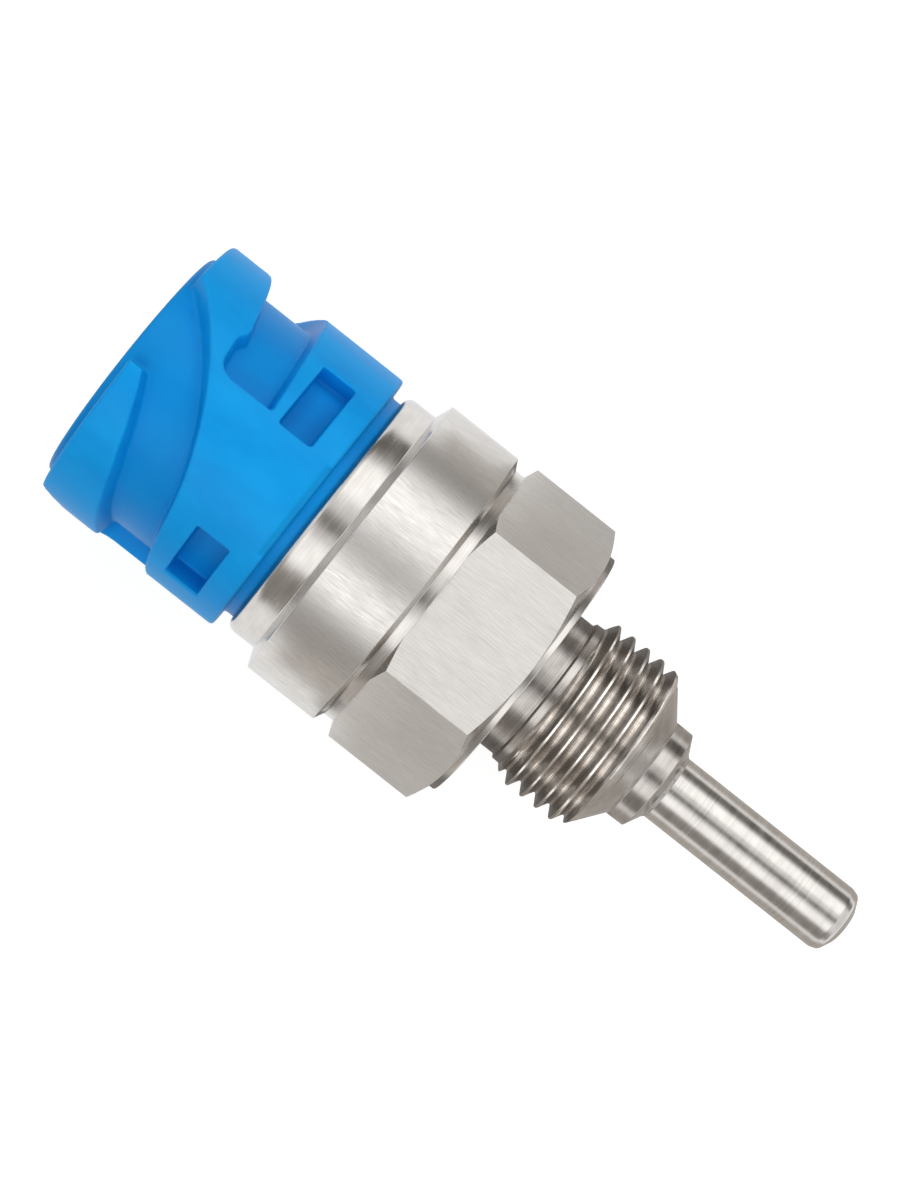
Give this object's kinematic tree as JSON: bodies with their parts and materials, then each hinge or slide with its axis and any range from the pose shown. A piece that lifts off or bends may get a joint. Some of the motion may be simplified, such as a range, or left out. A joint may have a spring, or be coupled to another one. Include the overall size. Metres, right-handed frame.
{
  "type": "temperature sender",
  "caption": "Screw-in temperature sender with hexagon body, threaded nose, closed probe and bayonet receptacle with helical grooves.",
  "frame": {"origin": "on the axis, at the sealing face under the hexagon", "axes": "+Z along the axis towards the connector, -Y is the normal of one flat of the hexagon"},
  "size_m": [0.0278, 0.027, 0.0744],
  "materials": {
    "steel": "turned stainless steel, brushed on the collar and the flats",
    "blue_plastic": "satin moulded plastic",
    "contact": "tin-plated brass",
    "seal_rubber": "matt black rubber",
    "casting_resin": "black casting compound",
    "white_plastic": "natural moulded plastic",
    "copper_wire": "tinned wire",
    "bead_resin": "dark bead",
    "heat_paste": "white paste"
  },
  "bodies": {
    "root": {"housing": "steel", "probe_tube": "steel", "probe_weld": "steel", "connector_body": "blue_plastic", "contact_pin_1": "contact", "contact_pin_2": "contact", "crimp_sleeve_1": "contact", "crimp_sleeve_2": "contact", "lead_wire_1": "copper_wire", "lead_wire_2": "copper_wire", "lead_sleeve_1": "white_plastic", "lead_sleeve_2": "white_plastic", "wire_spacer": "white_plastic", "housing_seal": "seal_rubber", "potting": "casting_resin", "thermistor": "bead_resin", "heat_paste": "heat_paste"}
  },
  "joints": []
}
